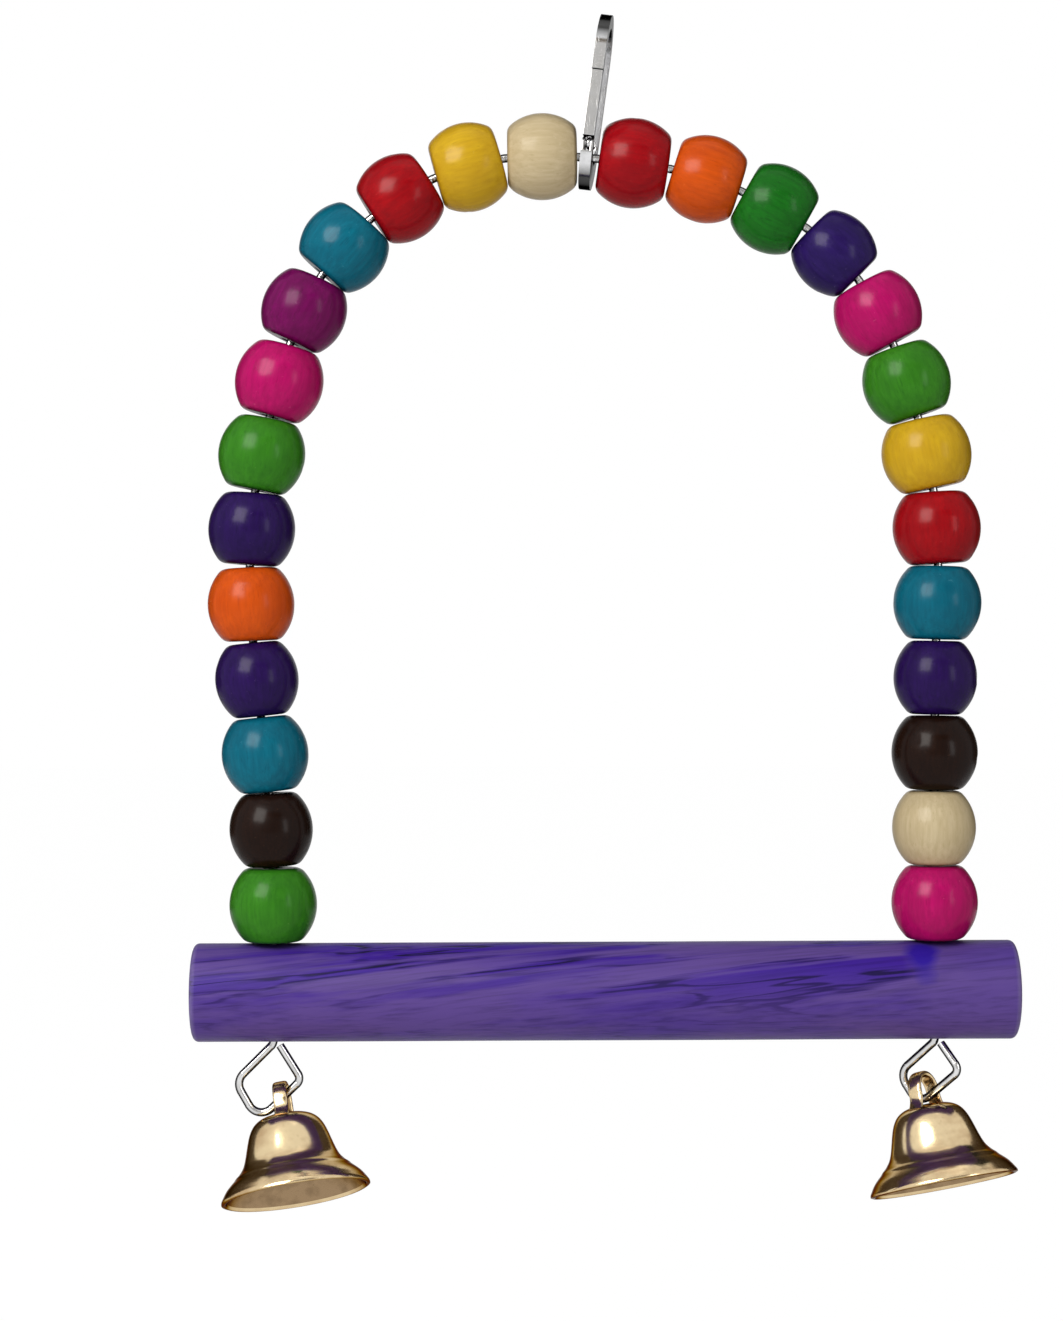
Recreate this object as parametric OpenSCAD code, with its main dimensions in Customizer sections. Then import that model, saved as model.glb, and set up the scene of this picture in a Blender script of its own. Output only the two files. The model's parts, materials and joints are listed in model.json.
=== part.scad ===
// Bird swing: a wire arch threaded with turned wooden beads, a dowel perch, two brass bells and a snap hook.
// Millimetres, +Z up, +X to the right, and the front faces -Y.
// The origin is the centre of the hook's upper bow, where the cage bar lies.

/* [Hook] */
// Length of the snap hook, bow to bow
hook_l = 29.3; // [26:0.1:40]
// Width of the snap hook across its loop
hook_w = 13.4; // [12:0.1:20]
// Bar of the hook, measured in the plane of its loop
hook_bar = 2.2; // [1.8:0.1:3]
// Bar of the hook, measured across its loop
hook_t = 1.9; // [1.7:0.1:3]
// Bar at the foot of the lower bow, where the wire wears on it
hook_heel = 4.2; // [2.2:0.1:5]
// Lean of the hook to the right, in degrees
hook_lean = 7.75; // [0:0.25:12]
// Turn of the hook about its own length, in degrees
hook_turn = 4.5; // [0:0.5:8]

/* [Gate] */
// Drop from the upper bow's centre to the end of the nose
nose_drop = 3.7; // [1.5:0.1:5]
// Height of the lip that the gate closes against
lip_h = 1; // [0.6:0.1:1.5]
// Diameter of the gate's pin
pin_d = 0.8; // [0.6:0.05:1]
// Radius of the gate's and the fork's eyes round the pin
eye_r = 0.95; // [0.8:0.05:1.1]
// Set-back of the pin from the middle of the bar
pin_back = 0.4; // [0:0.05:0.6]
// Height of the fork below the pin
fork_h = 1.4; // [1.2:0.1:3]
// Thickness of the gate's tongue
tongue_t = 0.55; // [0.4:0.05:0.8]
// Wire of the gate's spring
spring_d = 0.25; // [0.2:0.05:0.3]
// Gap round the closed gate
gate_gap = 0.15; // [0.1:0.05:0.3]

/* [Wire] */
// Diameter of the frame's wire
wire_d = 1.4; // [1.2:0.1:2]
// Gap between the wire and the hook's heel
seat_gap = 0.4; // [0.1:0.05:0.6]
// Slope of the wire at the hook, down to the right, in degrees
crest_slope = 5; // [0:1:10]
// Wire from the hook's middle to the first bead's place on the left
left_lead = 1.5; // [1.4:0.05:3]
// Wire from the hook's middle to the first bead's place on the right
right_lead = 1.3; // [1.2:0.05:3]

/* [Beads] */
// Diameter of a bead
bead_d = 14.4; // [12:0.1:15]
// Length of a bead
bead_l = 12.2; // [11:0.1:12.3]
// Bore of a bead
bead_bore = 3; // [2.8:0.1:4]
// Radius of the barrel curve along a bead
barrel_r = 8.3; // [7.8:0.1:12]
// Rounding where the barrel meets a bead's flat end
bead_round = 1.8; // [0.5:0.1:2]
// Free wire between two beads on the left
left_play = 0.4; // [0.3:0.02:1]
// Free wire between two beads on the right
right_play = 0.32; // [0.3:0.02:1]

/* [Perch] */
// Length of the perch
perch_l = 137.2; // [130:0.1:180]
// Diameter of the perch
perch_d = 16.5; // [12:0.1:20]
// Rounding of the perch's end edges
perch_round = 0.9; // [0.3:0.1:2]
// Diameter of the holes for the wire
perch_hole = 2; // [1.9:0.1:3]
// Gap between the last beads and the perch
perch_gap = 0.1; // [0.1:0.05:0.5]
// Offset of the perch's middle from midway between its holes
perch_shift = 0; // [-4:0.1:4]

/* [Eyes] */
// Width of the wire eye below the perch
eye_w = 10.6; // [9:0.1:12]
// Height of the wire eye below the perch
eye_h = 12; // [11:0.1:14]
// Bend radius of the eye's wide corners
eye_bend = 2.4; // [1.8:0.1:2.6]
// Bend radius of the eye's tight corners
eye_nip = 1.3; // [1.1:0.1:1.6]
// Turn of the right eye about its leg, right side to the front, in degrees
right_turn = 35; // [30:1:45]

/* [Bells] */
// Diameter of a bell's mouth
bell_d = 24.8; // [22:0.1:30]
// Height of a bell without its strap
bell_h = 13.6; // [12:0.1:18]
// Wall of a bell
bell_wall = 0.8; // [0.6:0.05:1]
// Width of the strap's opening
strap_w = 5.2; // [4.8:0.1:6]
// Height of the strap's opening above the crown
strap_h = 4.6; // [4.6:0.1:5]
// Thickness of the strap's band
strap_t = 0.9; // [0.7:0.05:1.2]
// Width of the strap's band
band_w = 2.4; // [2:0.1:2.6]
// Drop from the left strap's underside to the wire's middle
left_drop = 1.85; // [1.7:0.05:2.4]
// Drop from the right strap's underside to the line of its eye's third side
right_drop = 3.8; // [3.6:0.05:3.9]
// Width of the strap's feet on the crown
foot_w = 9.4; // [8:0.1:10]
// Pitch of the left bell out of the plane of its eye, mouth to the front, in degrees
left_pitch = 20; // [0:1:30]
// Pitch of the right bell out of the plane of its eye, mouth to the front, in degrees
right_pitch = 7; // [0:1:12]
// Tilt of the left bell in the plane of its eye, in degrees
left_tilt = 10.5; // [0:0.5:20]
// Tilt of the right bell in the plane of its eye, in degrees
right_tilt = 17.5; // [14:0.5:19]

/* [Clappers] */
// Wire of the staple inside a bell
staple_d = 0.7; // [0.6:0.05:0.9]
// Bend radius of the staple
staple_r = 1.1; // [1:0.05:1.4]
// Straight legs of the staple below the crown
staple_leg = 1; // [0.8:0.1:1.5]
// Wire of the clapper's ring and stem
clapper_d = 0.6; // [0.5:0.05:0.8]
// Radius of the clapper's ring, to the middle of its wire
ring_r = 1; // [0.95:0.05:1.2]
// Diameter of the clapper's ball
ball_d = 5.4; // [4:0.1:6]
// Height of the ball above the bell's mouth
ball_up = 3.2; // [2:0.1:5]

/* [Hidden] */
$fn = 64;
overrun = 1;
link_gap = 0.15;
fit_gap = 0.05;

// Colours of the dyed wood and of the metals
cream = [0.80, 0.74, 0.58];
yellow = [0.88, 0.71, 0.18];
red = [0.71, 0.06, 0.12];
teal = [0.06, 0.48, 0.57];
plum = [0.43, 0.08, 0.35];
pink = [0.76, 0.10, 0.42];
green = [0.25, 0.60, 0.17];
violet = [0.20, 0.10, 0.43];
orange = [0.93, 0.42, 0.12];
brown = [0.18, 0.08, 0.04];
dark_green = [0.06, 0.42, 0.11];
indigo = [0.19, 0.13, 0.43];
perch_violet = [0.30, 0.20, 0.55];
nickel = [0.78, 0.78, 0.78];
steel = [0.70, 0.70, 0.71];
brass = [0.72, 0.60, 0.34];

// The beads from the hook down, as [colour, turn of the wire in degrees, share of length, share of diameter]
left_bead_shares = [
    [cream, 12, 0.95, 1.00],
    [yellow, 18, 0.92, 1.03],
    [red, 16, 0.92, 1.02],
    [teal, 17, 0.93, 1.02],
    [plum, 15, 0.94, 0.99],
    [pink, 3, 0.99, 1.03],
    [green, 6, 0.99, 1.01],
    [violet, 8, 0.98, 1.01],
    [orange, 5, 1, 1.01],
    [violet, 2, 1.01, 0.97],
    [teal, -2, 1.02, 1.01],
    [brown, -4, 1, 0.97],
    [green, -1, 1.01, 1.02]
];
right_bead_shares = [
    [red, 6, 0.95, 1.04],
    [orange, 13, 0.95, 1.01],
    [dark_green, 11, 0.94, 1.04],
    [indigo, 20, 0.92, 0.95],
    [pink, 14, 0.93, 1.01],
    [green, 5, 0.98, 1.02],
    [yellow, 8, 0.96, 1.04],
    [red, 9, 0.98, 1.02],
    [teal, 1, 1, 1.02],
    [violet, -2, 1.01, 0.97],
    [brown, 1, 1.01, 1.00],
    [cream, -2, 1.01, 0.97],
    [pink, 1, 1.01, 1.00]
];

// Corners of the eyes, as shares of the eye's width and height, from the wire's way out of the perch
left_eye_shares = [[0, 0.03], [-0.60, 0.56], [-0.24, 1.11], [0.44, 0.53], [0.10, 0.05]];
right_eye_shares = [[0, 0.03], [-0.63, 0.53], [-0.28, 0.95], [0.43, 0.41], [0.10, 0.05]];

// Where each bell's strap lies, as a share of the way along the eye's third side
left_bell_share = 0.56;
right_bell_share = 0.17;

// Outline of a bell from the mouth up, as shares of its height and of the mouth's radius
bell_shares = [
    [0, 1], [0.09, 0.985], [0.18, 0.92], [0.29, 0.80], [0.38, 0.67], [0.47, 0.615],
    [0.60, 0.565], [0.72, 0.53], [0.82, 0.49], [0.90, 0.43], [0.96, 0.33], [1, 0.16]
];

function name_of(side, k) = str(side < 0 ? "left" : "right", "_bead_", k < 9 ? "0" : "", k + 1);
function shares_of(side) = side < 0 ? left_bead_shares : right_bead_shares;
function side_name(side) = side < 0 ? "left_" : "right_";

// The hook: its bows' centres, its pin and where the wire lies in it
bow_r = hook_w / 2;
inner_r = bow_r - hook_bar;
bow_drop = hook_l - hook_w;
bar_y = -bow_r + hook_bar / 2;
pin_y = bar_y + pin_back;
gate_foot = eye_r + gate_gap;
wire_r = wire_d / 2;
wire_drop = hook_l - bow_r - hook_heel - seat_gap - wire_r;
wire_x = -wire_drop * sin(hook_lean);
wire_z = -wire_drop * cos(hook_lean);

// A point on the wire is [distance outwards from the hook, height, heading below the horizontal]
function pitch_of(side) = bead_l + (side < 0 ? left_play : right_play);
function lead_of(side) = side < 0 ? left_lead : right_lead;
function turn_of(side, k) = shares_of(side)[k][1];
function chord(arc, turn) = turn == 0 ? arc : arc * sin(turn / 2) * 360 / (turn * PI);
function onward(p, arc, turn) = [
    p[0] + chord(arc, turn) * cos(p[2] + turn / 2),
    p[1] - chord(arc, turn) * sin(p[2] + turn / 2),
    p[2] + turn
];
function place(side, k) = k == 0
    ? onward([0, wire_z, side * crest_slope], lead_of(side), 0)
    : onward(place(side, k - 1), pitch_of(side), turn_of(side, k - 1));
function bead_place(side, k) = onward(place(side, k), pitch_of(side) / 2, turn_of(side, k) / 2);

// A bead on a bend sits inside the bend by half of the bend's rise
function bead_in(side, k) = turn_of(side, k) == 0 ? 0
    : pitch_of(side) * 90 / (PI * turn_of(side, k)) * (1 - cos(turn_of(side, k) / 2));
function leg_top(side) = place(side, len(shares_of(side)));
function leg_x(side) = wire_x + side * leg_top(side)[0];

// The perch lies under the last beads, so the legs set its place and its slope
perch_r = perch_d / 2;
leg_span = leg_x(1) - leg_x(-1);
perch_slope = atan((leg_top(1)[1] - leg_top(-1)[1]) / leg_span);
perch_x = (leg_x(1) + leg_x(-1)) / 2 + perch_shift;
perch_z = (leg_top(1)[1] + leg_top(-1)[1]) / 2 - perch_gap - perch_r / cos(perch_slope);
function under_perch(side) = perch_z + (leg_x(side) - perch_x) * tan(perch_slope) - perch_r / cos(perch_slope);

// The eyes' corners, each in its eye's own plane
function corners(side) = [
    for (s = side < 0 ? left_eye_shares : right_eye_shares)
        [leg_x(side) + s[0] * eye_w, under_perch(side) - s[1] * eye_h]
];
bends = [eye_nip, eye_bend, eye_bend, eye_nip];
function between(a, b, share) = a + (b - a) * share;

// Each bell hangs on its eye's third side
function bell_spot(side) =
    between(corners(side)[2], corners(side)[3], side < 0 ? left_bell_share : right_bell_share);
function eye_turn(side) = side < 0 ? 0 : right_turn;
function pitch_on(side) = side < 0 ? left_pitch : right_pitch;
function tilt_of(side) = side < 0 ? left_tilt : right_tilt;
function drop_of(side) = side < 0 ? left_drop : right_drop;

// Heights in a bell, from the underside of its strap
crown_z = -strap_h;
mouth_z = crown_z - bell_h;
arch_z = -strap_w / 2;
foot_sink = 1.5 * bell_wall;
staple_z = crown_z - bell_wall - staple_leg - staple_r;
ring_z = staple_z - ring_r + clapper_d / 2 + staple_d / 2 + link_gap;
ball_z = mouth_z + ball_up + ball_d / 2;

// Straight runs along the barrel curve and the rim's rounding, in each half of a bead's outline
barrel_runs = 4;
rim_runs = 2;

// A smooth curve through the bell's outline
steps = 4;
function bend_in(a, b, c, d, t) = 0.5 * (
    2 * b + (c - a) * t + (2 * a - 5 * b + 4 * c - d) * t * t + (3 * b - 3 * c + d - a) * t * t * t);
function at(list, i) = list[max(0, min(len(list) - 1, i))];
function smooth(list) = concat(
    [
        for (i = [0 : len(list) - 2]) for (j = [0 : steps - 1])
            bend_in(at(list, i - 1), list[i], list[i + 1], at(list, i + 2), j / steps)
    ],
    [list[len(list) - 1]]
);
bell_curve = [for (s = smooth(bell_shares)) [s[1] * bell_d / 2, mouth_z + s[0] * bell_h]];
function unit(v) = v / norm(v);
function inwards(list, i) = unit(at(list, i + 1) - at(list, i - 1));
bell_lining = [
    for (i = [0 : len(bell_curve) - 1])
        bell_curve[i] + bell_wall * [-inwards(bell_curve, i)[1], inwards(bell_curve, i)[0]]
];

module in_hook() {
    rotate([0, hook_lean, 0]) rotate([0, 0, -hook_turn]) children();
}

// Turns a flat shape drawn as [Y, Z] into a slab of the given thickness along X, centred on x
module slab(thickness, x = 0) {
    translate([x - thickness / 2, 0, 0]) rotate([90, 0, 90]) linear_extrude(thickness) children();
}

module cross_pin(diameter, length) {
    rotate([0, 90, 0]) cylinder(d = diameter, h = length, center = true);
}

module oval(radius, drop, lift = 0) {
    circle(radius);
    translate([0, lift - drop]) circle(radius);
    translate([-radius, lift - drop]) square([2 * radius, drop - lift]);
}

module hook_outline() {
    difference() {
        oval(bow_r, bow_drop);
        oval(inner_r, bow_drop, hook_heel - hook_bar);
        translate([-bow_r - overrun, -bow_drop - fork_h])
            square([hook_bar + 2 * overrun, bow_drop + fork_h - nose_drop]);
        translate([bar_y, -nose_drop - overrun])
            square([hook_bar / 2 + overrun, lip_h + overrun]);
    }
}

module fork_outline() {
    translate([pin_y, -bow_drop]) circle(eye_r);
    translate([pin_y - eye_r, -bow_drop - fork_h - hook_bar / 2]) square([2 * eye_r, fork_h + hook_bar / 2]);
}

tongue_x = (spring_d + fit_gap) / 2;
fork_slot = tongue_t + spring_d + 3 * fit_gap;

module hook_body() {
    color(nickel) in_hook() difference() {
        union() {
            slab(hook_t) hook_outline();
            slab(hook_t) fork_outline();
        }
        translate([0, 0, -bow_drop])
            cube([fork_slot, hook_w * 2, 2 * fork_h], center = true);
        translate([0, pin_y, -bow_drop]) cross_pin(pin_d, hook_t + overrun);
    }
}

module gate_outline() {
    difference() {
        translate([-bow_r, gate_foot - bow_drop])
            square([hook_bar, bow_drop - gate_foot - nose_drop - gate_gap]);
        translate([pin_y, -bow_drop]) circle(eye_r + gate_gap);
    }
    translate([bar_y + gate_gap, -nose_drop - gate_gap - overrun])
        square([hook_bar / 2 - gate_gap, lip_h + overrun]);
}

module tongue_outline() {
    translate([pin_y, -bow_drop]) circle(eye_r);
    translate([pin_y - eye_r / 2, -bow_drop]) square([eye_r, gate_foot + eye_r]);
}

module hook_gate() {
    color(nickel) in_hook() difference() {
        union() {
            slab(hook_t) gate_outline();
            slab(tongue_t, tongue_x) tongue_outline();
        }
        translate([0, pin_y, -bow_drop]) cross_pin(pin_d + 2 * fit_gap, hook_t + overrun);
        translate([spring_x, pin_y, gate_foot - bow_drop])
            cube([spring_d + 2 * fit_gap, spring_d + 2 * fit_gap, 2 * spring_up], center = true);
    }
}

module gate_pin() {
    color(steel) in_hook() translate([0, pin_y, -bow_drop]) cross_pin(pin_d, hook_t);
}

// The spring is one turn round the pin, with an arm up into the gate and an arm down into the fork
coil_r = pin_d / 2 + fit_gap + spring_d / 2;
spring_x = tongue_x - tongue_t / 2 - fit_gap - spring_d / 2;
spring_up = gate_foot + 0.5 * hook_bar;

module gate_spring() {
    color(steel) in_hook() translate([spring_x, pin_y, -bow_drop]) {
        rotate([0, 90, 0]) rotate_extrude() translate([coil_r, 0]) circle(d = spring_d);
        translate([0, 0, coil_r]) cylinder(d = spring_d, h = spring_up - coil_r);
        translate([0, 0, -fork_h + fit_gap]) cylinder(d = spring_d, h = fork_h - fit_gap - coil_r);
    }
}

// Every run of the wire stops just short of its ends, where a hair-thin swelling joins it to the next run
swell = 0.02;
run_trim = 0.05;

module joint() {
    sphere(r = wire_r + swell, $fn = 32);
}

// A bent run of wire that starts at the origin along +X and turns down
module bent_wire(arc, turn) {
    radius = arc * 180 / (PI * abs(turn));
    trim = run_trim * 180 / (PI * radius);
    joint();
    mirror([0, 0, turn < 0 ? 1 : 0]) translate([0, 0, -radius]) rotate([-90, 0, 0]) rotate([0, 0, trim - 90])
        rotate_extrude(angle = abs(turn) - 2 * trim, $fn = 180) translate([radius, 0]) circle(wire_r, $fn = 32);
}

module straight_wire(length) {
    joint();
    translate([run_trim, 0, 0]) rotate([0, 90, 0]) cylinder(r = wire_r, h = length - 2 * run_trim, $fn = 32);
}

module at_place(side, p) {
    translate([wire_x, 0, 0]) mirror([side < 0 ? 1 : 0, 0, 0])
        translate([p[0], 0, p[1]]) rotate([0, p[2], 0]) children();
}

// The right eye is turned a little about its leg
module in_eye(side) {
    translate([leg_x(side), 0, 0]) rotate([0, 0, -eye_turn(side)]) translate([-leg_x(side), 0, 0]) children();
}

// The eye's wire: straight sides with a bend at each corner
function heading(a, b) = atan2(a[1] - b[1], b[0] - a[0]);
function corner_turn(pts, i) = wrap(heading(pts[i], pts[i + 1]) - (i == 0 ? 90 : heading(pts[i - 1], pts[i])));
function wrap(angle) = angle > 180 ? angle - 360 : angle < -180 ? angle + 360 : angle;
function setback(pts, i) = i == len(pts) - 1 ? 0 : bends[i] * tan(abs(corner_turn(pts, i)) / 2);

module eye_wire(side) {
    pts = corners(side);
    last = len(pts) - 1;
    for (i = [0 : last - 1]) {
        before = i == 0 ? 90 : heading(pts[i - 1], pts[i]);
        turn = corner_turn(pts, i);
        translate([pts[i][0], 0, pts[i][1]]) rotate([0, before, 0]) translate([-setback(pts, i), 0, 0])
            bent_wire(bends[i] * abs(turn) * PI / 180, turn);
        translate([pts[i][0], 0, pts[i][1]]) rotate([0, heading(pts[i], pts[i + 1]), 0])
            translate([setback(pts, i), 0, 0])
                straight_wire(norm(pts[i + 1] - pts[i]) - setback(pts, i) - setback(pts, i + 1));
    }
}

module frame_wire() {
    color(steel) {
        translate([wire_x, 0, wire_z]) rotate([0, crest_slope, 0]) translate([-left_lead, 0, 0])
            straight_wire(left_lead + right_lead);
        for (side = [-1, 1]) {
            for (k = [0 : len(shares_of(side)) - 1])
                at_place(side, place(side, k)) bent_wire(pitch_of(side), turn_of(side, k));
            at_place(side, leg_top(side))
                straight_wire(leg_top(side)[1] - corners(side)[0][1] - setback(corners(side), 0));
            in_eye(side) eye_wire(side);
        }
    }
}

// Half of a bead's outline from its middle up: the barrel in short runs, then the rounding of the rim
function rim_lean(half) = asin((half - bead_round) / (barrel_r - bead_round));
function barrel_half(radius, half) = let (lean = rim_lean(half)) concat(
    [
        for (i = [0 : barrel_runs])
            [radius - barrel_r + barrel_r * cos(lean * i / barrel_runs), barrel_r * sin(lean * i / barrel_runs)]
    ],
    [
        for (i = [1 : rim_runs]) let (lift = lean + (90 - lean) * i / rim_runs) [
            radius - barrel_r + (barrel_r - bead_round) * cos(lean) + bead_round * cos(lift),
            half - bead_round + bead_round * sin(lift)
        ]
    ]
);

module bead_outline(radius, length) {
    upper = concat(barrel_half(radius, length / 2), [[bead_bore / 2, length / 2]]);
    polygon(concat([for (i = [len(upper) - 1 : -1 : 1]) [upper[i][0], -upper[i][1]]], upper));
}

module bead(side, k) {
    share = shares_of(side)[k];
    color(share[0]) at_place(side, bead_place(side, k)) translate([0, 0, -bead_in(side, k)]) rotate([0, 90, 0])
        rotate_extrude() bead_outline(bead_d * share[3] / 2, bead_l * share[2]);
}

module perch() {
    color(perch_violet) difference() {
        translate([perch_x, 0, perch_z]) rotate([0, 90 - perch_slope, 0]) rotate_extrude() {
            square([perch_r - perch_round, perch_l / 2]);
            translate([0, -perch_l / 2]) square([perch_r - perch_round, perch_l / 2]);
            translate([0, perch_round - perch_l / 2]) square([perch_r, perch_l - 2 * perch_round]);
            for (end = [-1, 1]) translate([perch_r - perch_round, end * (perch_l / 2 - perch_round)])
                intersection() {
                    circle(perch_round);
                    translate([0, -perch_round]) square([perch_round, 2 * perch_round]);
                }
        }
        for (side = [-1, 1])
            translate([leg_x(side), 0, perch_z]) cylinder(d = perch_hole, h = 2 * perch_d, center = true);
    }
}

module on_eye(side) {
    in_eye(side) translate([bell_spot(side)[0], 0, bell_spot(side)[1]]) rotate([0, -tilt_of(side), 0])
        rotate([-pitch_on(side), 0, 0]) translate([0, 0, drop_of(side)]) children();
}

module strap() {
    slab(band_w) difference() {
        union() {
            intersection() {
                translate([0, arch_z]) circle(strap_w / 2 + strap_t);
                translate([-strap_w, arch_z]) square([2 * strap_w, strap_w]);
            }
            translate([-strap_w / 2 - strap_t, crown_z - bell_wall / 2])
                square([strap_w + 2 * strap_t, arch_z - crown_z + bell_wall / 2]);
            polygon([
                [-foot_w / 2, crown_z - foot_sink],
                [-strap_w / 2, crown_z - bell_wall / 2],
                [strap_w / 2, crown_z - bell_wall / 2],
                [foot_w / 2, crown_z - foot_sink],
                [strap_w / 2 + strap_t / 2, arch_z],
                [-strap_w / 2 - strap_t / 2, arch_z]
            ]);
        }
        translate([0, arch_z]) circle(strap_w / 2);
        translate([-strap_w / 2, crown_z]) square([strap_w, arch_z - crown_z]);
    }
}

module bell(side) {
    color(brass) on_eye(side) difference() {
        union() {
            rotate_extrude() difference() {
                polygon(concat([[0, mouth_z]], bell_curve, [[0, mouth_z + bell_h]]));
                polygon(concat([[0, mouth_z - overrun], [bell_lining[0][0], mouth_z - overrun]], bell_lining,
                    [[0, crown_z - bell_wall]]));
            }
            strap();
        }
        staple_legs();
    }
}

// The staple's legs are pressed half way into the crown
module staple_legs() {
    for (x = [-staple_r, staple_r])
        translate([x, 0, staple_z + staple_r])
            cylinder(d = staple_d, h = staple_leg + bell_wall / 2, $fn = 24);
}

module staple(side) {
    color(steel) on_eye(side) {
        translate([0, 0, staple_z + staple_r]) rotate([90, 180, 0])
            rotate_extrude(angle = 180) translate([staple_r, 0]) circle(d = staple_d, $fn = 24);
        staple_legs();
    }
}

module clapper(side) {
    color(brass) on_eye(side) {
        translate([0, 0, ring_z]) rotate([0, 90, 0])
            rotate_extrude() translate([ring_r, 0]) circle(d = clapper_d, $fn = 24);
        translate([0, 0, ball_z]) cylinder(d = clapper_d, h = ring_z - ring_r - ball_z, $fn = 24);
        translate([0, 0, ball_z]) sphere(d = ball_d);
    }
}

hook_body();
hook_gate();
gate_pin();
gate_spring();
frame_wire();
perch();
for (side = [-1, 1]) {
    bell(side);
    staple(side);
    clapper(side);
    for (k = [0 : len(shares_of(side)) - 1])
        bead(side, k);
}
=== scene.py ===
import json
import math

import bmesh
import bpy
from mathutils import Matrix, Vector, noise


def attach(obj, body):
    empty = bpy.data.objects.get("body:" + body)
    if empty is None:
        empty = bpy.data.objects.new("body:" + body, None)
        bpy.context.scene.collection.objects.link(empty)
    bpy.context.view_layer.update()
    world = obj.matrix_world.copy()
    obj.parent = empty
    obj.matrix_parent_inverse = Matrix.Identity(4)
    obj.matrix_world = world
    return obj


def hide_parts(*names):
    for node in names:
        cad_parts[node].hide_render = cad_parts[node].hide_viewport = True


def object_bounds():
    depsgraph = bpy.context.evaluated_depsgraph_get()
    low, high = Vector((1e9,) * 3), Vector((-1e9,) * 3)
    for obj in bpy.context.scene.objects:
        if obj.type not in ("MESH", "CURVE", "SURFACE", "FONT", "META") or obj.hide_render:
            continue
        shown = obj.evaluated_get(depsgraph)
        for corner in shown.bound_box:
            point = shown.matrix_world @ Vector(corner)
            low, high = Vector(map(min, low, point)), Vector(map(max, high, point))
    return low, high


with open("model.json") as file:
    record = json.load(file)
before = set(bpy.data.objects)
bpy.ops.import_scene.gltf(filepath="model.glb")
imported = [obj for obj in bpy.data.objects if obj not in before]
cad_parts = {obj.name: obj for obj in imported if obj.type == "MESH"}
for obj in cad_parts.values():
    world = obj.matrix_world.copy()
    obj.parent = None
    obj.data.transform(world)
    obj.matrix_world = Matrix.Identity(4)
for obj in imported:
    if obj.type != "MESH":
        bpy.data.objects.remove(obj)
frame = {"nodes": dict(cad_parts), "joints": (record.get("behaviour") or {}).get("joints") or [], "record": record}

cad_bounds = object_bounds()
nodes = frame["nodes"]
joints = {joint["name"]: joint for joint in frame["joints"]}
MM = 0.001


# Snap hook. A flat nickel-plated steel bar is bent to a long oval loop that clips over the cage bar.
# Its edges are tumbled soft before plating, and the plate is bright with faint rub marks.
BAR_EDGE = 0.20 * MM
SAME_POINT = 0.001 * MM
FLAT_WITHIN = math.radians(0.4)
EDGE_FROM = math.radians(28)
# The metals' reflection at a grazing slant, set near black: painted dark reflection along their edges.
SLANT_TINT = (0.08, 0.08, 0.08)
METAL_RELIEF_DEPTH = 0.02 * MM


def surface_group(name, inputs):
    """A node group for a surface effect, with its named inputs: (tree, input node, output node)."""
    tree = bpy.data.node_groups.new(name, "ShaderNodeTree")
    for label, kind, value in inputs:
        tree.interface.new_socket(name=label, in_out="INPUT", socket_type=kind).default_value = value
    for label, kind in (("Colour", "NodeSocketColor"), ("Roughness", "NodeSocketFloat"),
                        ("Height", "NodeSocketFloat")):
        tree.interface.new_socket(name=label, in_out="OUTPUT", socket_type=kind)
    return tree, tree.nodes.new("NodeGroupInput"), tree.nodes.new("NodeGroupOutput")


def give_out(tree, out, colour, rough, height):
    """Leads an effect's colour, roughness and height out of its group."""
    tree.links.new(colour, out.inputs["Colour"])
    tree.links.new(rough, out.inputs["Roughness"])
    tree.links.new(height, out.inputs["Height"])


def put(tree, kind, settings=None, **inputs):
    """A new shader node with its settings and its inputs, each a value or another node's socket."""
    made = tree.nodes.new(kind)
    for name, value in (settings or {}).items():
        setattr(made, name, value)
    for name, value in inputs.items():
        socket = made.inputs[int(name[1:])] if name[0] == "_" else made.inputs[name.replace("_", " ")]
        if isinstance(value, bpy.types.NodeSocket):
            tree.links.new(value, socket)
        else:
            socket.default_value = value
    return made


def calc(tree, operation, *values, kind="ShaderNodeMath"):
    """One step of arithmetic on values or sockets."""
    numbered = {"_%d" % i: value for i, value in enumerate(values)}
    return put(tree, kind, {"operation": operation}, **numbered).outputs[0]


def calc_vector(tree, operation, *values):
    """One step of arithmetic on vectors."""
    return calc(tree, operation, *values, kind="ShaderNodeVectorMath")


def noise_field(tree, place, stretch, detail, rough):
    """Noise over a place, counted in cycles per metre along each axis."""
    return put(tree, "ShaderNodeTexNoise", Vector=calc_vector(tree, "MULTIPLY", place, stretch),
               Scale=1.0, Detail=detail, Roughness=rough).outputs["Fac"]


def between(tree, value, low, high, out_low, out_high):
    """Maps a value from one range to another, held at the ends."""
    return put(tree, "ShaderNodeMapRange", {"clamp": True}, Value=value, _1=low, _2=high,
               _3=out_low, _4=out_high).outputs["Result"]


def blend_colour(tree, amount, first, second):
    """The first colour where the amount is 0, the second where it is 1."""
    return put(tree, "ShaderNodeMixRGB", Fac=amount, Color1=first, Color2=second).outputs["Color"]


def opaque(colour, share=1.0):
    """A colour, or a share of it, as the four numbers that a socket takes."""
    return tuple(share * part for part in colour) + (1,)


def fresh_material(name):
    """A new material: (material, its nodes, its shader)."""
    made = bpy.data.materials.new(name)
    made.use_nodes = True
    return made, made.node_tree, made.node_tree.nodes["Principled BSDF"]


def by_slant(tree, start, full, facing, slanting):
    """A value that goes from one where a surface faces the eye to another where it is seen at a slant."""
    turned = put(tree, "ShaderNodeLayerWeight", Blend=0.5).outputs["Facing"]
    return between(tree, turned, start, full, facing, slanting)


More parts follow.
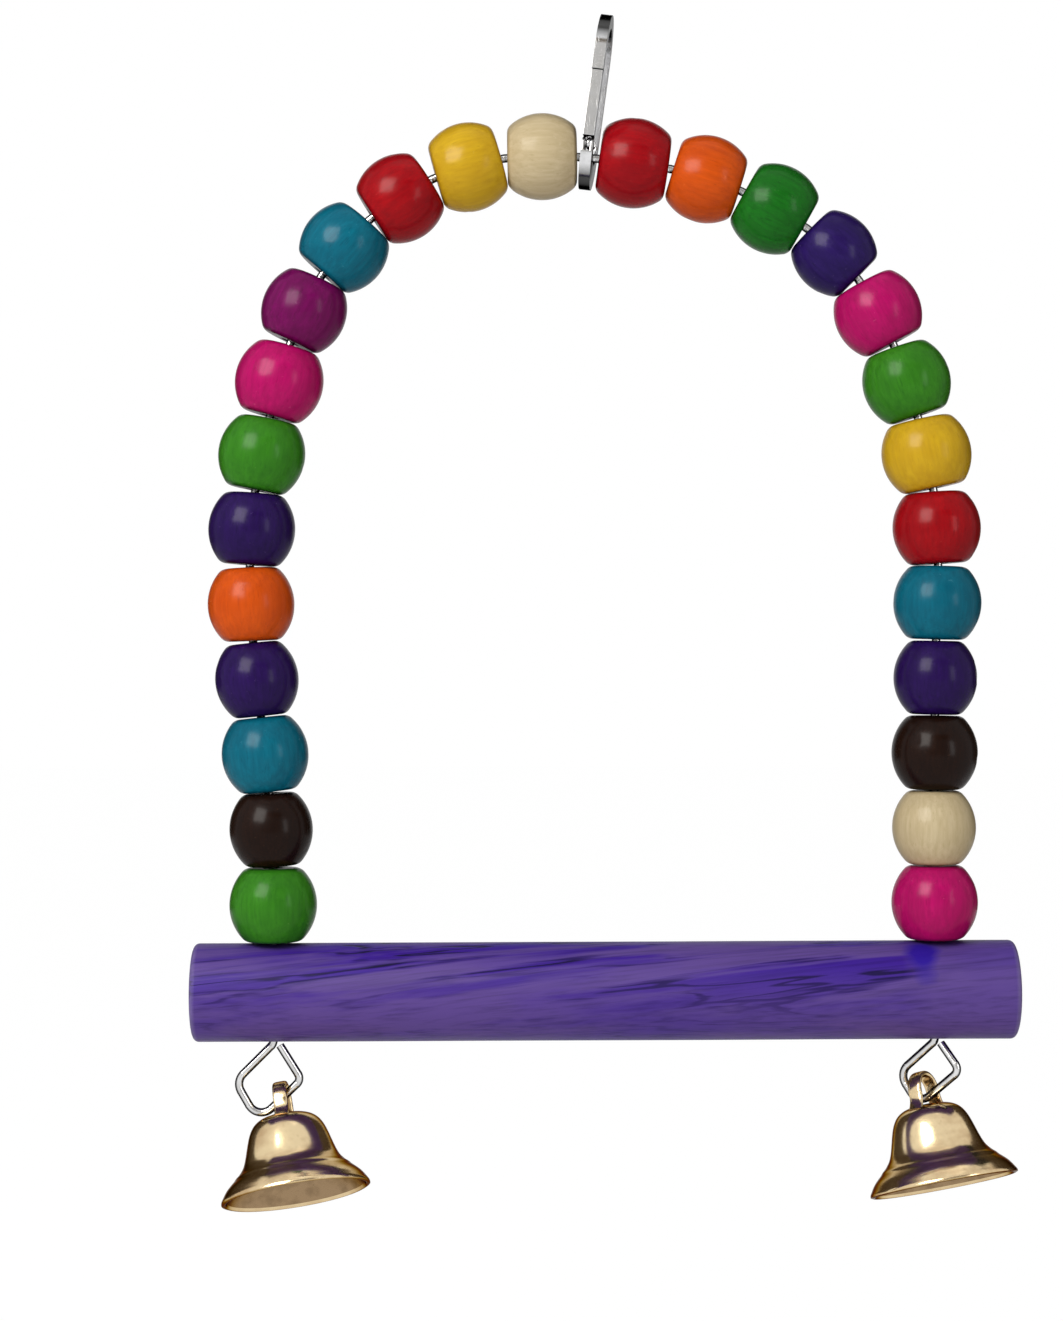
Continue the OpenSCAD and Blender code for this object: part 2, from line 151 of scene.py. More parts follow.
def lay_on(tree, shader, effect, colour, relief, depth):
    """Feeds the shader a colour, and the roughness and the relief of a surface effect."""
    bump = put(tree, "ShaderNodeBump", Strength=relief, Distance=depth, Height=effect.outputs["Height"])
    tree.links.new(colour, shader.inputs["Base Color"])
    tree.links.new(effect.outputs["Roughness"], shader.inputs["Roughness"])
    tree.links.new(bump.outputs["Normal"], shader.inputs["Normal"])


def rubbed_metal_group():
    """Bright metal with smudges, hairline scratches along one axis and a slightly darker film."""
    tree, given, out = surface_group("rubbed_metal", [
        ("Bright", "NodeSocketColor", (0.8, 0.8, 0.8, 1)),
        ("Film", "NodeSocketColor", (0.5, 0.5, 0.5, 1)),
        ("Gloss", "NodeSocketFloat", 0.1),
        ("Scratch Stretch", "NodeSocketVector", (3000, 3000, 200))])
    place = put(tree, "ShaderNodeTexCoord").outputs["Object"]
    smudge = noise_field(tree, place, (420, 420, 420), 3.0, 0.55)
    scratch = noise_field(tree, place, given.outputs["Scratch Stretch"], 2.0, 0.6)
    film = between(tree, smudge, 0.42, 0.72, 0.0, 0.55)
    hairline = between(tree, scratch, 0.60, 0.68, 0.0, 1.0)
    colour = blend_colour(tree, film, given.outputs["Bright"], given.outputs["Film"])
    uneven = calc(tree, "MULTIPLY_ADD", smudge, 0.14, given.outputs["Gloss"])
    give_out(tree, out, colour, calc(tree, "MULTIPLY_ADD", hairline, 0.10, uneven), scratch)
    return tree


rubbed_metal = rubbed_metal_group()


def metal(name, bright, film, gloss, scratches, relief, tint=SLANT_TINT, rim=(0.30, 0.62, 0.90)):
    """A metal with the rubbed effect. Tint is its reflection at a grazing slant, kept dark as a painted dark
    reflection;
    rim says from which slant to which, and how far, a face darkens, which is painted dark reflection too."""
    made, tree, shader = fresh_material(name)
    shader.inputs["Metallic"].default_value = 1.0
    shader.inputs["Specular Tint"].default_value = opaque(tint)
    worn = put(tree, "ShaderNodeGroup", {"node_tree": rubbed_metal}, Bright=opaque(bright),
               Film=opaque(film), Gloss=gloss, Scratch_Stretch=scratches)
    # Painted dark reflection: the colour goes dark where the face turns away from the eye.
    start, full, amount = rim
    colour = blend_colour(tree, by_slant(tree, start, full, 0.0, amount), worn.outputs["Colour"],
                          opaque(film, 0.08))
    lay_on(tree, shader, worn, colour, relief, METAL_RELIEF_DEPTH)
    return made


def in_scene(name, data):
    """A new object made of the data, linked to the scene."""
    made = bpy.data.objects.new(name, data)
    bpy.context.scene.collection.objects.link(made)
    return made


def softened_copy(node_name, piece_name, edge, material):
    """The node's solid as a piece of its own, with its flats made whole and its edges rounded."""
    mesh = nodes[node_name].data.copy()
    mesh.name = piece_name
    work = bmesh.new()
    work.from_mesh(mesh)
    bmesh.ops.remove_doubles(work, verts=work.verts, dist=SAME_POINT)
    bmesh.ops.dissolve_limit(work, angle_limit=FLAT_WITHIN, verts=work.verts, edges=work.edges)
    work.to_mesh(mesh)
    work.free()
    piece = in_scene(piece_name, mesh)
    mesh.materials.clear()
    mesh.materials.append(material)
    mesh.shade_smooth()
    rounding = piece.modifiers.new("soft_edges", "BEVEL")
    rounding.width = edge
    rounding.segments = 3
    rounding.limit_method = "ANGLE"
    rounding.angle_limit = EDGE_FROM
    level = piece.modifiers.new("level_flats", "WEIGHTED_NORMAL")
    level.mode = "FACE_AREA"
    level.weight = 100
    return piece


# The nickel goes dark toward the bar's edges: painted dark reflection.
nickel = metal("bright_nickel", bright=(0.74, 0.74, 0.75), film=(0.52, 0.52, 0.51), gloss=0.07,
               scratches=(3600, 3600, 260), relief=0.12, rim=(0.06, 0.26, 0.97))
hook = softened_copy("hook_body", "snap_hook", BAR_EDGE, nickel)
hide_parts("hook_body")
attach(hook, "hook")

# Gate of the hook. The same bar, cut to a short arm with a thin tongue in the hook's fork.
# It turns on a drawn steel pin, and one turn of spring wire round the pin pushes it shut.
ARM_EDGE = 0.12 * MM
gate = softened_copy("hook_gate", "hook_gate_arm", ARM_EDGE, nickel)
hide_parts("hook_gate")
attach(gate, "gate")


def dress(node_name, material):
    """Gives a carried-over node its material."""
    mesh = nodes[node_name].data
    mesh.materials.clear()
    mesh.materials.append(material)


drawn_steel = metal("drawn_steel", bright=(0.66, 0.66, 0.67), film=(0.45, 0.44, 0.43), gloss=0.22,
                    scratches=(5200, 5200, 300), relief=0.25)
spring_steel = metal("spring_steel", bright=(0.58, 0.58, 0.60), film=(0.38, 0.37, 0.36), gloss=0.20,
                     scratches=(6500, 6500, 6500), relief=0.2)
dress("gate_pin", drawn_steel)
dress("gate_spring", spring_steel)

# Frame wire. One length of bright plated wire, bent by hand to the arch, the two legs and the two eyes.
# Drawing leaves faint lines along it, and the bends show the plate rubbed a little duller.
# The wire goes dark toward its sides: painted dark reflection, drawn as dark outlines.
plated_wire = metal("plated_wire", bright=(0.76, 0.76, 0.76), film=(0.46, 0.45, 0.44), gloss=0.07,
                    scratches=(4200, 4200, 420), relief=0.18, rim=(0.10, 0.28, 0.97))
dress("frame_wire", plated_wire)


# Beads. Each is turned from a light hardwood, dyed through its pores and tumbled in clear lacquer.
# The dye takes darker in the grain and at the cut ends, and the tumbling leaves small dents and scuffs.
BARREL = 8.3 * MM
END_ROUND = 1.8 * MM
BORE = 1.5 * MM
BORE_ROUND = 0.35 * MM
SANDING = 0.07 * MM
DENT = 0.22 * MM
WOOD_RELIEF_DEPTH = 0.05 * MM
JOIN_WITHIN = 0.0005 * MM
BEAD_SIDES = 96
BEADS_ON_A_SIDE = 13


def toward_end(tree, local, half_length):
    """0 at the middle of a turned piece and 1 at its end faces."""
    along = put(tree, "ShaderNodeSeparateXYZ", Vector=local).outputs["Z"]
    return calc(tree, "DIVIDE", calc(tree, "ABSOLUTE", along), half_length)


def dyed_wood_group():
    """Dyed, lacquered wood: grain along local Z, open pores, cloudy dye, dark cut ends and scuffs."""
    tree, given, out = surface_group("dyed_wood", [
        ("Dye", "NodeSocketColor", (0.5, 0.5, 0.5, 1)),
        ("Deep Dye", "NodeSocketColor", (0.2, 0.2, 0.2, 1)),
        ("Pale Wood", "NodeSocketColor", (0.8, 0.7, 0.5, 1)),
        ("Shift", "NodeSocketVector", (0, 0, 0)),
        ("Half Length", "NodeSocketFloat", 0.006)])
    deep = given.outputs["Deep Dye"]
    local = put(tree, "ShaderNodeTexCoord").outputs["Object"]
    place = calc_vector(tree, "ADD", local, given.outputs["Shift"])
    fibre = noise_field(tree, place, (1500, 1500, 130), 5.0, 0.62)
    pore = noise_field(tree, place, (3300, 3300, 420), 2.0, 0.5)
    cloud = noise_field(tree, place, (170, 170, 120), 3.0, 0.5)
    scuff = noise_field(tree, place, (900, 700, 1500), 4.0, 0.7)
    colour = blend_colour(tree, between(tree, fibre, 0.30, 0.68, 0.0, 0.62), given.outputs["Dye"], deep)
    colour = blend_colour(tree, between(tree, cloud, 0.35, 0.70, 0.0, 0.42), colour, deep)
    open_pore = between(tree, pore, 0.63, 0.71, 0.0, 0.55)
    colour = blend_colour(tree, open_pore, colour, deep)
    bare = between(tree, scuff, 0.66, 0.74, 0.0, 0.30)
    colour = blend_colour(tree, bare, colour, given.outputs["Pale Wood"])
    cut_end = between(tree, toward_end(tree, local, given.outputs["Half Length"]), 0.90, 1.0, 0.0, 0.75)
    colour = blend_colour(tree, cut_end, colour, deep)
    uneven = calc(tree, "MULTIPLY_ADD", cloud, 0.16, 0.20)
    height = calc(tree, "MULTIPLY_ADD", fibre, 0.6, scuff)
    give_out(tree, out, colour, calc(tree, "MULTIPLY_ADD", bare, 0.5, uneven),
             calc(tree, "SUBTRACT", height, open_pore))
    return tree


def lathe(name, outline, around, closed, radial=None):
    """Turns an outline of (radius, height) points about Z; radial(point) moves a point in or out."""
    points, faces = [], []
    rows = len(outline)
    for step in range(around):
        turn = 2 * math.pi * step / around
        outwards = Vector((math.cos(turn), math.sin(turn), 0))
        for radius, height in outline:
            point = Vector((radius * math.cos(turn), radius * math.sin(turn), height))
            if radial and radius > 0:
                point += outwards * radial(point)
            points.append(point)
        here, there = step * rows, (step + 1) % around * rows
        for row in range(rows if closed else rows - 1):
            up = (row + 1) % rows
            faces.append((here + row, there + row, there + up, here + up))
    mesh = bpy.data.meshes.new(name)
    mesh.from_pydata(points, [], faces)
    work = bmesh.new()
    work.from_mesh(mesh)
    bmesh.ops.remove_doubles(work, verts=work.verts, dist=JOIN_WITHIN)
    bmesh.ops.recalc_face_normals(work, faces=work.faces)
    work.to_mesh(mesh)
    work.free()
    mesh.shade_smooth()
    return in_scene(name, mesh)


def along_axis(centre, axis):
    """Places local Z on an axis through a centre."""
    return Matrix.Translation(centre) @ Vector((0, 0, 1)).rotation_difference(axis).to_matrix().to_4x4()


def arc(centre_r, centre_z, radius, start, stop, count):
    """Points of a circular arc in an outline, from start to stop in degrees from the radius direction."""
    angles = [math.radians(start + (stop - start) * i / count) for i in range(count + 1)]
    return [(centre_r + radius * math.cos(a), centre_z + radius * math.sin(a)) for a in angles]


dyed_wood = dyed_wood_group()
# For each dye: the dye on plain wood, the dye where it sinks in, and the wood where it is rubbed off.
DYES = {
    "cream": ((0.680, 0.560, 0.350), (0.500, 0.380, 0.200), (0.74, 0.66, 0.46)),
    "yellow": ((0.720, 0.450, 0.018), (0.520, 0.280, 0.010), (0.80, 0.60, 0.16)),
    "red": ((0.440, 0.004, 0.008), (0.230, 0.002, 0.006), (0.62, 0.07, 0.05)),
    "teal": ((0.004, 0.172, 0.250), (0.002, 0.085, 0.140), (0.10, 0.36, 0.44)),
    "plum": ((0.225, 0.004, 0.120), (0.090, 0.002, 0.050), (0.44, 0.10, 0.28)),
    "pink": ((0.580, 0.006, 0.150), (0.330, 0.003, 0.080), (0.74, 0.16, 0.34)),
    "green": ((0.050, 0.270, 0.014), (0.020, 0.130, 0.008), (0.24, 0.46, 0.10)),
    "violet": ((0.026, 0.006, 0.100), (0.011, 0.003, 0.045), (0.15, 0.09, 0.30)),
    "orange": ((0.760, 0.105, 0.006), (0.520, 0.055, 0.004), (0.86, 0.32, 0.09)),
    "brown": ((0.018, 0.006, 0.003), (0.007, 0.003, 0.002), (0.13, 0.06, 0.03)),
    "dark_green": ((0.012, 0.190, 0.012), (0.005, 0.080, 0.006), (0.14, 0.40, 0.10)),
    "indigo": ((0.028, 0.010, 0.125), (0.012, 0.004, 0.058), (0.15, 0.11, 0.32)),
}


def bead_material(name, dye, shift, half_length):
    """Dyed wood under a thin lacquer. Toward the rim the lacquer shows less, and painted shade darkens the colour.
    """
    made, tree, shader = fresh_material(name)
    shader.inputs["Specular IOR Level"].default_value = 0.04
    shader.inputs["Coat Roughness"].default_value = 0.17
    fill, deep, pale = DYES[dye]
    wood = put(tree, "ShaderNodeGroup", {"node_tree": dyed_wood}, Dye=opaque(fill), Deep_Dye=opaque(deep),
               Pale_Wood=opaque(pale), Shift=shift, Half_Length=half_length)
    # Painted shade: the colour darkens toward the bead's rim, where it turns away from the eye.
    colour = blend_colour(tree, by_slant(tree, 0.45, 0.98, 0.0, 0.80), wood.outputs["Colour"],
                          opaque(deep, 0.45))
    tree.links.new(by_slant(tree, 0.25, 0.60, 0.12, 0.01), shader.inputs["Coat Weight"])
    lay_on(tree, shader, wood, colour, 0.35, WOOD_RELIEF_DEPTH)
    return made


def bead_outline(radius, half):
    """Closed outline of a turned bead: barrel, rounded rims, flat ends and a bore with eased edges."""
    lean = math.asin((half - END_ROUND) / (BARREL - END_ROUND))
    rim = radius - BARREL + (BARREL - END_ROUND) * math.cos(lean)
    lean = math.degrees(lean)
    barrel = arc(radius - BARREL, 0, BARREL, -lean, lean, 36)
    upper = arc(rim, half - END_ROUND, END_ROUND, lean, 90, 9)[1:]
    upper += arc(BORE + BORE_ROUND, half - BORE_ROUND, BORE_ROUND, 90, 180, 4)
    lower = [(r, -z) for r, z in reversed(upper)]
    return lower + barrel + upper


def dented(seed):
    """Low waves from hand sanding and a few small dents, all inwards."""
    shift = Vector((seed * 3.1, seed * 1.7, seed * 2.3))

    def move(point):
        wave = noise.noise(point * 110 + shift)
        dent = max(0.0, noise.noise(point * 420 + shift) - 0.42)
        return -SANDING * (0.5 + 0.5 * wave) - DENT * dent
    return move


slots = {part["node"]: part["material_slot"] for part in frame["record"]["subparts"]}
for name in sorted(node for node in nodes if "_bead_" in node):
    spin = joints[name + "_spin"]
    centre, axis = Vector(spin["pos_m"]), Vector(spin["axis"])
    offsets = [corner.co - centre for corner in nodes[name].data.vertices]
    half = max(abs(offset.dot(axis)) for offset in offsets)
    radius = max((offset - axis * offset.dot(axis)).length for offset in offsets)
    dye = slots[name].removeprefix("wood_")
    number = int(name[-2:]) + (0 if name.startswith("left") else BEADS_ON_A_SIDE)
    bead = lathe("turned_" + name, bead_outline(radius, half), BEAD_SIDES, True, dented(number))
    bead.matrix_world = along_axis(centre, axis)
    shift = (0.031 * number, 0.017 * number, 0.023 * number)
    bead.data.materials.append(bead_material("dyed_" + name, dye, shift, half))
    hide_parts(name)
    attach(bead, name)


# Perch. A birch dowel sawn to length, drilled across at each end and dipped in violet dye.
# The dye lies thick in long streaks and thin on the ridges, and the saw and handling leave fine cuts.
PERCH_HALF = 68.6 * MM
PERCH_R = 8.25 * MM
PERCH_EDGE = 0.9 * MM
PERCH_HOLE = 1.0 * MM
PERCH_ROWS = 150
PERCH_SIDES = 128
END_RINGS = [0, 1.5 * MM, 3.5 * MM, 5.5 * MM]
TIP_WITHIN = 0.4 * MM
DRILL_REACH = 12 * MM
DRILL_SIDES = 40
HOLLOW = 0.10 * MM
DYE_RELIEF_DEPTH = 0.12 * MM
# The dye has run together on the upper front, just beside the right hole.
POOLED_AT = (-6.2 * MM, -5.6 * MM, 52.6 * MM)
POOLED_DYE = (0.026, 0.008, 0.330)
WORN_END = (0.30, 0.25, 0.42)


def settle(piece, pose):
    """Moves the vertices to their place and keeps their own coordinates for the material."""
    own = piece.data.attributes.new("own_place", "FLOAT_VECTOR", "POINT")
    for i, corner in enumerate(piece.data.vertices):
        own.data[i].vector = corner.co
    piece.data.transform(pose)
    piece.matrix_world = Matrix.Identity(4)


def combine(piece, tool, operation):
    """Joins a tool shape to a piece or takes it away, and removes the tool."""
    step = piece.modifiers.new("combine", "BOOLEAN")
    step.object = tool
    step.operation = operation
    step.solver = "EXACT"
    bpy.context.view_layer.objects.active = piece
    bpy.ops.object.modifier_apply(modifier=step.name)
    bpy.data.objects.remove(tool)


def streaked_dye_group():
    """Violet dye along a dowel: slanting streaks, bare lilac ridges, dark fine cuts and worn ends."""
    tree, given, out = surface_group("streaked_dye", [
        ("Thin Dye", "NodeSocketColor", (0.2, 0.15, 0.4, 1)),
        ("Thick Dye", "NodeSocketColor", (0.1, 0.05, 0.5, 1)),
        ("Cut", "NodeSocketColor", (0.03, 0.01, 0.1, 1)),
        ("Half Length", "NodeSocketFloat", 0.0686)])
    thick_dye, cut_dye = given.outputs["Thick Dye"], given.outputs["Cut"]
    local = put(tree, "ShaderNodeAttribute", {"attribute_name": "own_place"}).outputs["Vector"]
    slant = put(tree, "ShaderNodeMapping", {"vector_type": "POINT"}, Vector=local,
                Rotation=(math.radians(4.0), math.radians(6.0), 0)).outputs[0]
    drift = noise_field(tree, slant, (90, 90, 22), 2.0, 0.5)
    sideways = put(tree, "ShaderNodeCombineXYZ", X=drift, Y=drift).outputs[0]
    bent = calc_vector(tree, "MULTIPLY_ADD", sideways, (3 * MM, 3 * MM, 0), slant)
    streak = noise_field(tree, bent, (300, 300, 13), 4.0, 0.55)
    fibre = noise_field(tree, bent, (1700, 1700, 50), 4.0, 0.6)
    cut = noise_field(tree, bent, (430, 430, 15), 2.0, 0.55)
    cloud = noise_field(tree, local, (70, 70, 30), 3.0, 0.5)

    part = put(tree, "ShaderNodeSeparateXYZ", Vector=local)
    upper = between(tree, part.outputs["X"], -5 * MM, 3 * MM, 1.0, 0.25)
    before_hole = between(tree, part.outputs["Z"], 49 * MM, 54 * MM, 1.0, 0.15)
    well_dyed = calc(tree, "MULTIPLY", upper, before_hole)
    thick = calc(tree, "MULTIPLY", well_dyed, between(tree, streak, 0.44, 0.55, 0.0, 1.0))
    colour = blend_colour(tree, thick, given.outputs["Thin Dye"], thick_dye)
    colour = blend_colour(tree, between(tree, cloud, 0.50, 0.72, 0.0, 0.45), colour, thick_dye)
    colour = blend_colour(tree, between(tree, fibre, 0.45, 0.72, 0.0, 0.30), colour, cut_dye)

    from_line = calc(tree, "ABSOLUTE", calc(tree, "SUBTRACT", cut, 0.5))
    line = calc(tree, "MULTIPLY", between(tree, from_line, 0.012, 0.040, 1.0, 0.0),
                between(tree, streak, 0.46, 0.54, 0.0, 1.0))
    nick = calc(tree, "MULTIPLY", line, well_dyed)
    colour = blend_colour(tree, nick, colour, cut_dye)

    apart = calc_vector(tree, "MULTIPLY", calc_vector(tree, "SUBTRACT", local, POOLED_AT), (300, 300, 420))
    spread = put(tree, "ShaderNodeVectorMath", {"operation": "LENGTH"}, _0=apart).outputs["Value"]
    wavy = calc(tree, "MULTIPLY_ADD", streak, 1.6, spread)
    colour = blend_colour(tree, between(tree, wavy, 1.50, 2.25, 0.95, 0.0), colour, opaque(POOLED_DYE))
    end = toward_end(tree, local, given.outputs["Half Length"])
    colour = blend_colour(tree, between(tree, end, 0.985, 1.0, 0.0, 0.55), colour, opaque(WORN_END))
    raised = calc(tree, "MULTIPLY_ADD", fibre, 0.5, streak)
    give_out(tree, out, colour, calc(tree, "MULTIPLY_ADD", cloud, 0.22, 0.34),
             calc(tree, "SUBTRACT", raised, nick))
    return tree


def perch_material():
    """The dye on the bare dowel: no lacquer and a low sheen, with painted shade that darkens it where it turns
    away from the eye.
    """
    made, tree, shader = fresh_material("violet_perch")
    shader.inputs["Specular IOR Level"].default_value = 0.10
    dye = put(tree, "ShaderNodeGroup", {"node_tree": streaked_dye_group()},
              Thin_Dye=(0.124, 0.070, 0.300, 1), Thick_Dye=(0.048, 0.013, 0.290, 1),
              Cut=(0.006, 0.003, 0.034, 1), Half_Length=PERCH_HALF)
    # Painted shade: the colour darkens where the dowel turns away from the eye.
    colour = blend_colour(tree, by_slant(tree, 0.50, 0.98, 0.0, 0.65), dye.outputs["Colour"],
                          (0.020, 0.010, 0.090, 1))
    lay_on(tree, shader, dye, colour, 0.5, DYE_RELIEF_DEPTH)
    return made


def end_middle(side):
    """Middle of the box round the perch's vertices at one end."""
    corners = [corner.co for corner in nodes["perch"].data.vertices]
    tip = max(side * corner.x for corner in corners)
    near = [corner for corner in corners if side * corner.x > tip - TIP_WITHIN]
    return Vector([(min(c[k] for c in near) + max(c[k] for c in near)) / 2 for k in range(3)])


def sanded(point):
    """The dowel is never quite round: long shallow hollows along it."""
    return -HOLLOW * (0.5 + 0.5 * noise.noise(Vector((point.x * 160, point.y * 160, point.z * 28))))


left_end, right_end = end_middle(-1), end_middle(1)
perch_centre = (left_end + right_end) / 2
side_line = [(PERCH_R, -PERCH_HALF + PERCH_EDGE + (2 * PERCH_HALF - 2 * PERCH_EDGE) * i / PERCH_ROWS)
             for i in range(1, PERCH_ROWS)]
lower_edge = arc(PERCH_R - PERCH_EDGE, -PERCH_HALF + PERCH_EDGE, PERCH_EDGE, -90, 0, 6)
upper_edge = arc(PERCH_R - PERCH_EDGE, PERCH_HALF - PERCH_EDGE, PERCH_EDGE, 0, 90, 6)
perch_outline = ([(r, -PERCH_HALF) for r in END_RINGS] + lower_edge + side_line + upper_edge
                 + [(r, PERCH_HALF) for r in reversed(END_RINGS)])
drill_outline = [(0, -DRILL_REACH), (PERCH_HOLE, -DRILL_REACH), (PERCH_HOLE, DRILL_REACH), (0, DRILL_REACH)]

perch = lathe("dyed_perch", perch_outline, PERCH_SIDES, False, sanded)
perch.matrix_world = along_axis(perch_centre, (right_end - left_end).normalized())
for leg in (-1, 1):
    near = [c.co.x for c in nodes["frame_wire"].data.vertices
            if abs(c.co.z - perch_centre.z) < DRILL_REACH and c.co.x * leg > 0]
    drill = lathe("drill", drill_outline, DRILL_SIDES, False)
    drill.location = ((min(near) + max(near)) / 2, 0, perch_centre.z)
    bpy.context.view_layer.update()
    combine(perch, drill, "DIFFERENCE")
settle(perch, perch.matrix_world.copy())
perch.data.shade_smooth()
perch.data.set_sharp_from_angle(angle=math.radians(40))
perch.data.materials.append(perch_material())
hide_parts("perch")
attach(perch, "swing")

# Bells. Each is stamped from sheet brass, polished in a lathe and lacquered, with a strap soldered to its
# crown. The lathe leaves rings that catch the light, the lip is turned thin, and the lacquer holds a
# brown film.
CROWN = -4.6 * MM
BELL_H = 13.6 * MM
MOUTH = CROWN - BELL_H
MOUTH_R = 12.4 * MM
WALL = 0.8 * MM
UPRIGHT_WITHIN = 0.05
LIP_H = 0.3 * MM
RIDGE_H = 3.82 * MM
RIDGE_OUT = 0.10 * MM
RIDGE_SPREAD = 0.28 * MM
STRAP_R = 2.6 * MM
STRAP_T = 0.9 * MM
BAND = 2.4 * MM
BELL_SIDES = 128
BAND_SIDES = 20
INSIDE_FROM = MOUTH + 0.35 * MM
INSIDE_TO = CROWN - 0.4 * MM
UNDER_CROWN_R = 5 * MM
# The brass's reflection at a grazing slant, set dark brown: painted dark reflection along the bells' edges.
BRASS_TINT = (0.20, 0.11, 0.05)
# For each bell: how far it is pitched to the front, and how high the inside of its strap stands above the
# line of its joint.
HANG = {"left": (math.radians(20), 1.85 * MM), "right": (math.radians(7), 3.80 * MM)}
# Radius and height above the mouth, in millimetres.
bell_line = [(12.40, 0), (12.36, 0.44), (12.05, 0.98), (11.62, 1.66), (11.15, 2.25), (10.60, 2.79),
             (9.95, 3.38), (9.20, 4.11), (8.55, 4.84), (8.10, 5.48), (7.75, 6.26), (7.42, 7.24),
             (7.08, 8.41), (6.76, 9.49), (6.42, 10.47), (6.00, 11.35), (5.40, 12.18), (4.55, 12.82),
             (3.40, 13.26), (1.90, 13.50), (0, 13.60)]


def smooth_line(points, steps):
    """A smooth curve through the points."""
    curve = []
    last = len(points) - 1
    for i in range(last):
        four = [points[max(0, min(last, j))] for j in (i - 1, i, i + 1, i + 2)]
        for step in range(steps):
            t = step / steps
            curve.append(tuple(0.5 * (2 * b + (c - a) * t + (2 * a - 5 * b + 4 * c - d) * t * t
                                      + (3 * b - 3 * c + d - a) * t ** 3) for a, b, c, d in zip(*four)))
    return curve + [points[last]]


def bell_shell():
    """Outline of the bell: the inside down to the lip, round it, then the outside up to the crown."""
    outside = [(r * MM, MOUTH + h * MM) for r, h in smooth_line(bell_line, 4)]
    ridge = [(r + RIDGE_OUT * math.exp(-((z - MOUTH - RIDGE_H) / RIDGE_SPREAD) ** 2), z)
             for r, z in outside]
    inside = []
    for i, (r, z) in enumerate(outside):
        before, after = outside[max(0, i - 1)], outside[min(len(outside) - 1, i + 1)]
        run = Vector((after[0] - before[0], after[1] - before[1])).normalized()
        level = z + run.x * WALL if abs(run.x) > UPRIGHT_WITHIN else z
        inside.append((max(0.0, r - abs(run.y) * WALL), level))
    inside = [(r, z) for r, z in inside if z > MOUTH + LIP_H]
    inside[-1] = (0, inside[-1][1])
    lip = arc(MOUTH_R - WALL / 2, MOUTH + LIP_H, WALL / 2, -90, -170, 4)
    return list(reversed(inside)) + list(reversed(lip)) + ridge[1:]


def rounded(value, power):
    """A cosine or sine squared up a little, for a band with flat faces and soft edges."""
    return math.copysign(abs(value) ** power, value)


def strap_mesh(name):
    """The strap: a flat band bent to an arch, with feet that spread on to the crown."""
    middle = STRAP_R + STRAP_T / 2
    path = [(-4.45 * MM, CROWN - 1.05 * MM), (-3.75 * MM, CROWN - 0.35 * MM),
            (-3.25 * MM, CROWN + 0.45 * MM), (-middle, CROWN + 1.2 * MM)]
    path += [(-middle * math.cos(math.radians(a)), -STRAP_R + middle * math.sin(math.radians(a)))
             for a in range(0, 91, 10)]
    path += [(-y, z) for y, z in reversed(path[:-1])]
    work = bmesh.new()
    rings = []
    for i, (y, z) in enumerate(path):
        a, b = path[max(0, i - 1)], path[min(len(path) - 1, i + 1)]
        run = Vector((0, b[0] - a[0], b[1] - a[1])).normalized()
        outwards = Vector((0, -run.z, run.y))
        ring = []
        for step in range(BAND_SIDES):
            turn = 2 * math.pi * step / BAND_SIDES
            x = rounded(math.cos(turn), 0.5) * BAND / 2
            raised = rounded(math.sin(turn), 0.7) * STRAP_T / 2
            ring.append(work.verts.new(Vector((x, y, z)) + outwards * raised))
        rings.append(ring)
    for here, there in zip(rings, rings[1:]):
        for step in range(BAND_SIDES):
            after = (step + 1) % BAND_SIDES
            work.faces.new((here[step], here[after], there[after], there[step]))
    work.faces.new(list(reversed(rings[0])))
    work.faces.new(rings[-1])
    bmesh.ops.recalc_face_normals(work, faces=work.faces)
    mesh = bpy.data.meshes.new(name)
    work.to_mesh(mesh)
    work.free()
    mesh.shade_smooth()
    return mesh


def lathe_polish_group():
    """Rings left by polishing on a lathe, with a brown film that gathers in bands and patches."""
    tree, given, out = surface_group("lathe_polish", [
        ("Bright", "NodeSocketColor", (0.8, 0.6, 0.3, 1)),
        ("Film", "NodeSocketColor", (0.4, 0.25, 0.1, 1))])
    local = put(tree, "ShaderNodeAttribute", {"attribute_name": "own_place"}).outputs["Vector"]
    ring = noise_field(tree, local, (40, 40, 5200), 3.0, 0.6)
    band = noise_field(tree, local, (60, 60, 420), 2.0, 0.5)
    patch = noise_field(tree, local, (240, 240, 240), 4.0, 0.6)
    speck = noise_field(tree, local, (2600, 2600, 2600), 2.0, 0.5)
    gathered = calc(tree, "MULTIPLY_ADD", patch, 0.6, calc(tree, "MULTIPLY", band, 0.4))
    film = between(tree, gathered, 0.42, 0.66, 0.0, 0.7)
    colour = blend_colour(tree, film, given.outputs["Bright"], given.outputs["Film"])
    colour = blend_colour(tree, between(tree, speck, 0.68, 0.74, 0.0, 0.5), colour, given.outputs["Film"])
    base = calc(tree, "MULTIPLY_ADD", film, 0.10, 0.10)
    give_out(tree, out, colour, calc(tree, "MULTIPLY_ADD", ring, 0.10, base), ring)
    return tree


